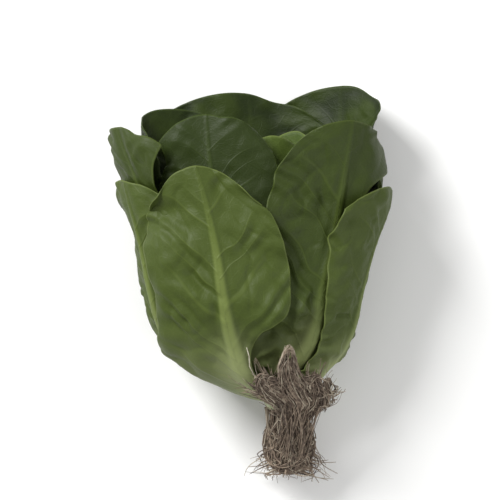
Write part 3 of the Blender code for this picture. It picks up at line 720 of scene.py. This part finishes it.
def leaf_finish(name, colours):
    """Green with clouds, side veins, a fine net, a midrib, a pale foot, painted shading from the relief and
    a painted highlight along the edge.
    """
    made, shader, nodes, links = new_material(name, LEAF_ROUGHNESS)
    shader.inputs["Specular IOR Level"].default_value = LEAF_SHINE
    _, _, to_edge, place = split(nodes, links, "place")
    rib_share, up, outer, _ = split(nodes, links, "shares")
    turn, height, _, _ = split(nodes, links, "relief")
    clouds = cloud(nodes, links, place, CLOUD_SCALE)
    specks = cloud(nodes, links, place, SPECK_SCALE)

    # Painted shading: on top of the clouds, the green follows the relief's height, hollows against swells.
    painted_relief_shading = fade(nodes, links, height, RELIEF_SHADING_FROM, RELIEF_SHADING_TO)
    shade = maths(nodes, links, "ADD", maths(nodes, links, "MULTIPLY", clouds, 0.9),
                  maths(nodes, links, "MULTIPLY", painted_relief_shading, 0.45))
    green = blend(nodes, links, fade(nodes, links, shade, 0.95, 0.40), colours.deep, colours.light)
    green = blend(nodes, links, fade(nodes, links, outer, 0.6, 0.4), green, colours.inside)
    veins = leaf_veins(nodes, links, place, turn, to_edge)
    green = blend(nodes, links, maths(nodes, links, "MULTIPLY", veins, VEIN_SHOWS), green, colours.vein)

    rib = fade(nodes, links, rib_share, 0.40, 1.20)
    rib_colour = blend(nodes, links, fade(nodes, links, up, 0.12, 0.85), colours.vein, colours.rib)
    rib = maths(nodes, links, "MULTIPLY", rib, fade(nodes, links, up, 0.60, 1.05))
    green = blend(nodes, links, rib, green, rib_colour)
    foot = fade(nodes, links, up, 0.05, 0.46)
    wide_rib = fade(nodes, links, rib_share, 0.5, 4.0)
    foot = maths(nodes, links, "MULTIPLY", foot,
                 maths(nodes, links, "ADD", maths(nodes, links, "MULTIPLY", wide_rib, 0.6), 0.3))
    green = blend(nodes, links, foot, green, colours.foot)
    # Painted highlight: a thin pale band along the margin, where light catches the edge.
    edge = fade(nodes, links, to_edge, RIM_HIGHLIGHT_FULL, RIM_HIGHLIGHT_ENDS)
    edge = maths(nodes, links, "MULTIPLY", edge, RIM_HIGHLIGHT_SHOWS)
    green = blend(nodes, links, edge, green, colours.rib)
    links.new(green, shader.inputs["Base Color"])

    surface = maths(nodes, links, "ADD", maths(nodes, links, "MULTIPLY", veins, 0.6),
                    maths(nodes, links, "MULTIPLY", specks, 0.5))
    bump = nodes.new("ShaderNodeBump")
    bump.inputs["Strength"].default_value = BUMP_SHARE
    bump.inputs["Distance"].default_value = BUMP_HEIGHT
    links.new(surface, bump.inputs["Height"])
    links.new(bump.outputs["Normal"], shader.inputs["Normal"])
    return made


FRONT_FINISH = leaf_finish("leaf_front_finish", FRONT_COLOURS)
OUTER_SHADED_FINISH = leaf_finish("leaf_outer_painted_shade", OUTER_SHADED_COLOURS)
INNER_SHADED_FINISH = leaf_finish("leaf_inner_painted_shade", INNER_SHADED_COLOURS)
HEART_FINISH = leaf_finish("leaf_heart_finish", HEART_COLOURS)
print("leaf finishes:", FRONT_FINISH.name, OUTER_SHADED_FINISH.name, INNER_SHADED_FINISH.name, HEART_FINISH.name)

# %% [markdown]
# ## Making the blades
# A blade is one grid, laid on its shell point by point, and then extruded into a second
# sheet, so it is a closed body with an inner and an outer face. The Solidify modifier could
# give the thickness, but then the ribs would show on both faces. On a real leaf they stand
# out on the outer face only, so the outer sheet is moved out by its own amount at each point.

# %% A sheet becomes a closed body
def thicken(bm, number, middles, out, inner_depth, outer_depth):
    """Lays the sheet on middles and closes it: so far inwards, so far outwards."""
    for i, vert in enumerate(bm.verts):
        vert[number] = i
        vert.co = middles[i]
    bm.normal_update()
    normals = np.array([vert.normal for vert in bm.verts])
    normals *= math.copysign(1.0, np.sum(normals * out))
    inner_sheet = bm.verts[:]
    made = bmesh.ops.extrude_face_region(bm, geom=bm.faces[:], use_keep_orig=True)
    outer_sheet = [item for item in made["geom"] if isinstance(item, bmesh.types.BMVert)]
    for vert in inner_sheet:
        vert.co -= Vector(normals[vert[number]] * inner_depth[vert[number]])
    for vert in outer_sheet:
        vert.co += Vector(normals[vert[number]] * outer_depth[vert[number]])
    for vert in bm.verts:
        vert.co.z = max(vert.co.z, 0.0)
    bmesh.ops.recalc_face_normals(bm, faces=bm.faces[:])
    return inner_sheet, outer_sheet


print("a blade has two sheets and a rim between them")

# %% One blade
BLADE = 0.0006
OUTER_GRID = (92, 124)
HEART_GRID = (48, 72)
COLUMN_CROWDING = 1.15


def make_blade(name, leaf):
    """The leaf's closed blade, with the values that its finish reads on every point."""
    bm = bmesh.new()
    columns, rows = HEART_GRID if leaf.layer > HEART_LAYER else OUTER_GRID
    bmesh.ops.create_grid(bm, x_segments=columns, y_segments=rows, size=1.0)
    number = bm.verts.layers.int.new("number")
    place = bm.verts.layers.float_vector.new("place")
    shares = bm.verts.layers.float_vector.new("shares")
    ground = bm.verts.layers.float_vector.new("relief")
    flat = np.array([vert.co[:2] for vert in bm.verts])
    u = np.sign(flat[:, 0]) * np.abs(flat[:, 0]) ** COLUMN_CROWDING
    v = (flat[:, 1] + 1) / 2
    half = half_outline(leaf, u, v)
    across = u * half
    along = leaf_length(leaf) * v
    turn = vein_turn(leaf, across, along)
    height = relief(name, leaf, across, along, turn, v)
    for fold in FOLDS.get(name, ()):
        height += fold_height(fold, across, along)
    here, out = outward(*leaf_place(leaf, u, v), leaf.layer)
    middles = here + out * (leaf_lift(leaf, u, v) + height)[:, None]
    middles[:, 2] = np.maximum(middles[:, 2], BLADE / 2)
    ridge = rib_height(leaf, across, v) + vein_ridge(leaf, turn, u)
    thin = np.full(len(u), BLADE / 2)
    sheets = thicken(bm, number, middles, out, thin, thin + ridge)

    to_edge = np.minimum((1 - np.abs(u)) * half, (1 - v) * leaf_length(leaf))
    rib_share = np.abs(across) / rib_width(leaf, v)
    for side, sheet_verts in enumerate(sheets):
        for vert in sheet_verts:
            i = vert[number]
            vert[place] = (across[i], along[i], to_edge[i])
            vert[shares] = (rib_share[i], v[i], side)
            vert[ground] = (turn[i], height[i], 0.0)
    bm.verts.layers.int.remove(number)
    return link_mesh(name + "_blade", bm)


print("faces of a large blade:", 2 * OUTER_GRID[0] * OUTER_GRID[1])

# %% All the blades
# Leaves deeper in the head get the darker finishes, as painted shade.
FINISH_AND_SHADE_LAYERS = ((2.5, FRONT_FINISH), (4.2, OUTER_SHADED_FINISH), (HEART_LAYER, INNER_SHADED_FINISH))


def dress(piece, node, paint):
    """Gives a finished piece its material and puts it in the place of a plain node."""
    piece.data.materials.clear()
    piece.data.materials.append(paint)
    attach(piece, "root")
    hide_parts(node)


for node, leaf in LEAVES.items():
    blade = make_blade(node, leaf)
    if leaf.layer > HEART_LAYER:
        dress(blade, node, HEART_FINISH)
    else:
        finish = next(paint for layer, paint in FINISH_AND_SHADE_LAYERS if leaf.layer < layer)
        dress(blade, node, finish)
print("blades:", len(LEAVES))

# %% [markdown]
# ## The stem
# All the leaves grow from a short pale stem, which is almost hidden between their feet. It
# could be a plain cylinder. Cutting a cylinder into rings and giving each ring its own place
# and size lets it follow the shells, so that every leaf still meets it.

# %% Stem
STEM_TOP, STEM_BOTTOM = 0.0345, -0.0040
STEM_END_ROUNDING = 0.15
STEM_INSET = 0.0009
STEM_RINGS, STEM_SIDES = 40, 48
SCAR_PITCH, SCAR_DEPTH = 0.0046, 0.0004    # the rings where leaves came off

bm = bmesh.new()
stand = Matrix.Translation((0, (STEM_TOP + STEM_BOTTOM) / 2, 0)) @ Matrix.Rotation(-math.pi / 2, 4, "X")
bmesh.ops.create_cone(bm, cap_ends=True, segments=STEM_SIDES, radius1=1.0, radius2=1.0,
                      depth=STEM_TOP - STEM_BOTTOM, matrix=stand)
for level in np.linspace(STEM_BOTTOM, STEM_TOP, STEM_RINGS)[1:-1]:
    everything = bm.verts[:] + bm.edges[:] + bm.faces[:]
    bmesh.ops.bisect_plane(bm, geom=everything, plane_co=(0, level, 0), plane_no=(0, 1, 0))
for vert in bm.verts:
    level = vert.co.y
    taper = 1 - LAYER_THINNER * max(level, 0.0) / LAYER_RISE
    rounding = 1 - STEM_END_ROUNDING * (min(level, 0.0) / STEM_BOTTOM) ** 2
    scar = SCAR_DEPTH * abs(math.sin(math.pi * level / SCAR_PITCH))
    half_width = (SHELL[0][1] * taper - STEM_INSET - scar) * rounding
    half_depth = (SHELL[0][2] * taper - STEM_INSET - scar) * rounding
    middle = CROWN + Vector((float(shift_at(level)), level, float(rise_at(level))))
    vert.co = middle + Vector((vert.co.x * half_width, 0, vert.co.z * half_depth))
stem = link_mesh("stem_body", bm)
print("stem is", round(1000 * (STEM_TOP - STEM_BOTTOM)), "mm long")

# %% Stem material
def speckled(name, roughness, deep, light, scale, bump_height):
    """Two colours in clouds of noise on the object's own coordinates, with a rough surface."""
    made, shader, nodes, links = new_material(name, roughness)
    where = nodes.new("ShaderNodeTexCoord").outputs["Object"]
    clouds = cloud(nodes, links, where, scale, 8.0)
    mixed = blend(nodes, links, fade(nodes, links, clouds, 0.62, 0.38), deep, light)
    links.new(mixed, shader.inputs["Base Color"])
    bump = nodes.new("ShaderNodeBump")
    bump.inputs["Distance"].default_value = bump_height
    links.new(clouds, bump.inputs["Height"])
    links.new(bump.outputs["Normal"], shader.inputs["Normal"])
    return made


STEM_PAINT = speckled("stem_flesh", 0.5, (0.30, 0.33, 0.17), (0.46, 0.50, 0.30), 160.0, 0.0006)
dress(stem, "stem", STEM_PAINT)
print("stem is dressed")

# %% [markdown]
# ## The roots
# The lettuce is sold with its roots on. They form a brown matted lump below the stem, and a
# mat of them lies over the feet of the front leaves. A particle system could grow them. Here
# a seeded rule draws each root as a path, because the same paths come back at every run. Two
# rough bodies fill the inside of the tangle, and the roots themselves lie over them.

# %% Where the roots lie
LUMP_MIDDLE = CROWN + Vector((0.0019, -0.0246, -0.0065))
LUMP_SIZE = Vector((0.0150, 0.0180, 0.0115))
PAD_TURN = 75              # the mat over the leaf feet: its middle, in degrees
PAD_LAYER = -2.6
PAD_SHARE = 0.110          # its half width, as a share of the way round
PAD_WAIST = 0.15
PAD_BOTTOM = -0.004
PAD_TOP = ((-1.00, 0.030), (-0.50, 0.040), (-0.20, 0.042), (-0.08, 0.054), (0.08, 0.058),
           (0.22, 0.043), (0.55, 0.040), (1.00, 0.028))    # place across the mat, length up the shell there


def pad_place(u, v):
    """Where spots of the mat lie on its shell: u is -1 to 1 across it, v 0 to 1 up it."""
    waist = 1 - PAD_WAIST * (1 - np.minimum(v, 1.0)) ** 2
    length = PAD_BOTTOM + (smooth_curve(PAD_TOP, 1)(u) - PAD_BOTTOM) * v
    return share_at(PAD_TURN) + PAD_SHARE * u * waist, length


print("the mat reaches mm up the shell:", [round(1000 * length) for _, length in PAD_TOP])

# %% Inside of the tangle
CORE_SHRINK = 0.94
CORE_BUMPS, CORE_PITCH = 0.16, 0.45            # shares of the lump's size
CORE_GRAIN, CORE_GRAIN_PITCH = 0.05, 0.08
MAT_THICKNESS = 0.0016
MAT_BUMPS, MAT_PITCH = 0.0009, 0.0035
MAT_INSET = 0.93           # the mat's inside ends this share of the way to its rim
MAT_GRID = (110, 50)

bm = bmesh.new()
bmesh.ops.create_icosphere(bm, subdivisions=6, radius=1.0)
for vert in bm.verts:
    bump = CORE_SHRINK + CORE_BUMPS * noise.noise(vert.co / CORE_PITCH)
    bump += CORE_GRAIN * noise.noise(vert.co / CORE_GRAIN_PITCH)
    vert.co = LUMP_MIDDLE + vert.co * LUMP_SIZE * bump
core = link_mesh("root_core", bm)

bm = bmesh.new()
bmesh.ops.create_grid(bm, x_segments=MAT_GRID[0], y_segments=MAT_GRID[1], size=1.0)
number = bm.verts.layers.int.new("number")
flat = np.array([vert.co[:2] for vert in bm.verts])
u = flat[:, 0] * MAT_INSET
v = (flat[:, 1] + 1) / 2 * (MAT_INSET + 0.12 * rough(flat[:, 0], 0 * u, 0.10, 5.0))
here, out = outward(*pad_place(u, v), PAD_LAYER)
bumps = MAT_BUMPS * rough(here[:, 0], here[:, 1], MAT_PITCH, 2.0)
thin = np.full(len(u), MAT_THICKNESS / 2)
thicken(bm, number, here, out, thin, thin + bumps)
bm.verts.layers.int.remove(number)
mat = link_mesh("root_mat", bm)
CORE_PAINT = speckled("root_core_paint", 0.9, (0.075, 0.056, 0.039), (0.190, 0.150, 0.108), 420.0, 0.0010)
dress(core, "roots", CORE_PAINT)
dress(mat, "roots", CORE_PAINT)
print("faces inside the tangle:", len(core.data.polygons) + len(mat.data.polygons))

# %% [markdown]
# A root is thin, a little kinked, and thins out towards its end. Each path below is a list of
# points. Two kinds creep, over the mat and over the lump. The others leave the tangle: they
# spring up past the mat's top, run away from the leaves, hang from the mat over the neck, or
# grow out of the stem's end into the lump.

# %% Paths of the roots
ROOT_SEED = 11
CREEP_STEP = 0.0022
MAT_HALF_WIDTH, MAT_HEIGHT = 0.034, 0.042  # metres that the mat's own measures stand for


def creep_on_mat(draw):
    """A root that creeps over the mat, turning a little at every step."""
    u, v = draw.uniform(-1, 1), draw.uniform(0.0, 0.95)
    heading = draw.gauss(math.pi / 2, 0.8)
    layer = PAD_LAYER - draw.uniform(0.35, 1.10)
    spots = []
    for _ in range(draw.randint(5, 13)):
        spots.append(Vector(shell_points(*pad_place(u, v), layer)))
        heading += draw.gauss(0, 0.38)
        u += CREEP_STEP * math.cos(heading) / MAT_HALF_WIDTH
        v = min(v + CREEP_STEP * math.sin(heading) / MAT_HEIGHT, 1.0)
        layer += draw.gauss(0, 0.08)
    return spots


def creep_on_lump(draw):
    """A root that creeps over the lump."""
    spot = Vector([draw.gauss(0, 1) for _ in "xyz"]).normalized()
    heading = Vector([draw.gauss(0, 1) for _ in "xyz"]).cross(spot).normalized()
    height = draw.uniform(0.98, 1.10)
    spots = []
    for _ in range(draw.randint(7, 16)):
        spots.append(LUMP_MIDDLE + spot * LUMP_SIZE * height)
        spot = (spot + heading * CREEP_STEP / 0.014).normalized()
        heading = Matrix.Rotation(draw.gauss(0, 0.35), 3, spot) @ heading
        heading = (heading - spot * heading.dot(spot)).normalized()
    return spots


print("a creeping root takes steps of mm:", 1000 * CREEP_STEP)

# %% Paths that leave the tangle
PLUME_ODDS, PLUME_HALF_WIDTH = 0.38, 0.15      # the plume is the mat's narrow peak
PLUME_REACH, SPRING_REACH = (0.75, 1.04), (0.65, 1.30)
PEAK_HALF_WIDTH = 0.25     # nothing passes the mat's top in its middle
SPRING_LAYERS = (-3.9, -2.2)
SPRING_BEND, SPRING_WOBBLE = 0.30, 0.035
ANY_PHASE = (0, 6.3)
RUN_SIDEWAYS, RUN_DOWN = (0.010, 0.031), (-0.0500, -0.0360)
RUN_HEIGHT, FLOOR_GAP = 0.010, 0.0005
RUN_WIGGLE, STEM_WIGGLE = 0.003, 0.0012
HANG_LAYERS, HANG_SPREAD = (-3.6, -2.4), 0.8


def spring_up(draw):
    """A root that curls from the lump up over the mat, and sometimes past its top."""
    plume = draw.random() < PLUME_ODDS
    spread = PLUME_HALF_WIDTH if plume else 1.0
    u = draw.uniform(-spread, spread)
    reach = draw.uniform(*(PLUME_REACH if plume or abs(u) < PEAK_HALF_WIDTH else SPRING_REACH))
    layer = draw.uniform(*SPRING_LAYERS)
    bend = draw.uniform(-SPRING_BEND, SPRING_BEND) * (0.25 if plume else 1.0)
    phase = draw.uniform(*ANY_PHASE)
    spots = []
    for s in np.linspace(0.0, 1.0, 16):
        wobble = SPRING_WOBBLE * math.sin(9 * s + phase) * s
        across = u + bend * s * s + wobble
        up = min(reach * s, PLUME_REACH[1] if abs(across) < PEAK_HALF_WIDTH else reach)
        spots.append(Vector(shell_points(*pad_place(across, up), layer)))
    return [LUMP_MIDDLE.lerp(spots[0], 0.55), *spots]


def run_away(draw):
    """A root that leaves the lump on any side and runs away from the leaves, down to the floor."""
    turn = draw.uniform(0, 2 * math.pi)
    side, up = math.cos(turn), math.sin(turn)
    start = LUMP_MIDDLE - Vector((0, draw.uniform(-0.5, 0.9) * LUMP_SIZE.y, 0))
    leave = start + Vector((side * LUMP_SIZE.x, -LUMP_SIZE.y / 3, up * LUMP_SIZE.z))
    end = Vector((LUMP_MIDDLE.x + side * draw.uniform(*RUN_SIDEWAYS), 0, RUN_HEIGHT * (1 + up)))
    end.y = CROWN.y + draw.uniform(*RUN_DOWN)
    wiggle, phase = draw.uniform(-RUN_WIGGLE, RUN_WIGGLE), draw.uniform(*ANY_PHASE)
    spots = []
    for s in np.linspace(0.0, 1.0, 15):
        spot = start.lerp(leave, min(2 * s, 1.0)).lerp(leave.lerp(end, s), s)
        spot += Vector((wiggle * math.sin(7 * s + phase), 0, 0.4 * wiggle * math.cos(8 * s)))
        spot.z = max(spot.z, FLOOR_GAP)
        spots.append(spot)
    return spots


def hang_down(draw):
    """A root that hangs from the mat over the bare neck to the lump."""
    place = pad_place(draw.uniform(-HANG_SPREAD, HANG_SPREAD), draw.uniform(0.05, 0.55))
    top = Vector(shell_points(*place, draw.uniform(*HANG_LAYERS)))
    aim = Vector((draw.uniform(-1, 1), draw.uniform(-1.0, 0.5), draw.uniform(0.1, 1.0))).normalized()
    end = LUMP_MIDDLE + aim * LUMP_SIZE * draw.uniform(0.95, 1.08)
    bulge = top.lerp(end, 0.5) + Vector((draw.gauss(0, 0.003), 0, draw.uniform(0.001, 0.005)))
    return [top.lerp(bulge, s).lerp(bulge.lerp(end, s), s) for s in np.linspace(0.0, 1.0, 12)]


def leave_stem(draw):
    """A root that grows out of the stem's end into the lump."""
    turn, reach = draw.uniform(0, 2 * math.pi), math.sqrt(draw.uniform(0.1, 0.95))
    side = Vector((math.cos(turn) * SHELL[0][1], 0, math.sin(turn) * SHELL[0][2])) * reach
    start = CROWN + Vector((0, STEM_BOTTOM + 0.001, 0)) + side
    end = LUMP_MIDDLE + side + Vector((0, draw.uniform(-0.004, 0.008), 0))
    wiggle, phase = draw.uniform(-STEM_WIGGLE, STEM_WIGGLE), draw.uniform(*ANY_PHASE)
    spots = []
    for s in np.linspace(0.0, 1.0, 10):
        bend = wiggle * math.sin(6 * s + phase) * s
        spots.append(start.lerp(end, s) + Vector((bend, 0, bend)))
    return spots


print("a springing root has points:", len(spring_up(random.Random(ROOT_SEED))))

# %% [markdown]
# One curve object holds all the roots of one colour. A curve with a round bevel is the easy
# way to a tube: it needs only the points and a radius at each. The tubes are turned into a
# mesh at the end.

# %% Roots as tubes
KINDS = ((creep_on_mat, 340, (.00022, .00050)), (creep_on_lump, 240, (.00025, .00055)),
         (spring_up, 170, (.00022, .00048)), (hang_down, 130, (.00022, .00050)),
         (run_away, 130, (.00022, .00055)), (leave_stem, 130, (.00028, .00060)))


def new_curve(name):
    curve = bpy.data.curves.new(name, "CURVE")
    curve.dimensions = "3D"
    curve.bevel_depth = 1.0
    curve.bevel_resolution = 1
    curve.use_fill_caps = True
    return curve


def add_root(curve, points, thickness, end_share=0.35):
    """Adds one root to a curve. It thins out to end_share of its thickness."""
    spline = curve.splines.new("POLY")
    spline.points.add(len(points) - 1)
    for spot, point, s in zip(spline.points, points, np.linspace(0.0, 1.0, len(points))):
        spot.co = (*point, 1.0)
        spot.radius = thickness * (1 - (1 - end_share) * s)


def tubes_to_mesh(curve):
    """The curve's tubes as one mesh object."""
    thing = bpy.data.objects.new(curve.name, curve)
    bpy.context.scene.collection.objects.link(thing)
    depsgraph = bpy.context.evaluated_depsgraph_get()
    mesh = bpy.data.meshes.new_from_object(thing.evaluated_get(depsgraph))
    bpy.data.objects.remove(thing)
    mesh.shade_smooth()
    made = bpy.data.objects.new(curve.name, mesh)
    bpy.context.scene.collection.objects.link(made)
    return made


draw = random.Random(ROOT_SEED)
curves = [new_curve("roots_" + colour) for colour in ("brown", "dark", "light")]
for path, count, thickness in KINDS:
    for _ in range(count):
        curve = draw.choices(curves, weights=(6, 3, 3))[0]
        add_root(curve, path(draw), draw.uniform(*thickness))
print("roots drawn:", [len(curve.splines) for curve in curves])

# %% The colours of the roots
ROOT_PAINTS = (
    speckled("root_brown", 0.8, (0.150, 0.108, 0.078), (0.290, 0.225, 0.165), 300.0, 0.0003),
    speckled("root_dark", 0.85, (0.065, 0.045, 0.033), (0.150, 0.110, 0.080), 300.0, 0.0003),
    speckled("root_light", 0.7, (0.260, 0.210, 0.155), (0.440, 0.380, 0.290), 300.0, 0.0003),
)
for curve, paint in zip(curves, ROOT_PAINTS):
    strands = tubes_to_mesh(curve)
    dress(strands, "roots", paint)
    print(strands.name, "has faces:", len(strands.data.polygons))

# %% [markdown]
# One root has strayed from the tangle. It is young, so it is nearly white, and it lies on the
# front leaf beside the midrib.

# %% The stray root
STRAY = ((-.0030, .010), (-.0052, .018), (-.0060, .025), (-.0054, .032), (-.0056, .039),
         (-.0068, .046), (-.0064, .052))    # across and along the front leaf
STRAY_LAYER = -0.75
STRAY_THICKNESS = 0.00055

curve = new_curve("root_stray")
spots = []
for across, along in STRAY:
    share = share_at(LEAVES["leaf_01"].turn) + across / float(girth(along, 0.0))
    spots.append(Vector(shell_points(share, along, STRAY_LAYER)))
add_root(curve, spots, STRAY_THICKNESS, 0.5)
stray = tubes_to_mesh(curve)
STRAY_PAINT = speckled("root_pale", 0.6, (0.46, 0.42, 0.32), (0.66, 0.62, 0.50), 300.0, 0.0002)
dress(stray, "roots", STRAY_PAINT)
print("stray root in mm:", round(1000 * sum((b - a).length for a, b in zip(spots, spots[1:]))))
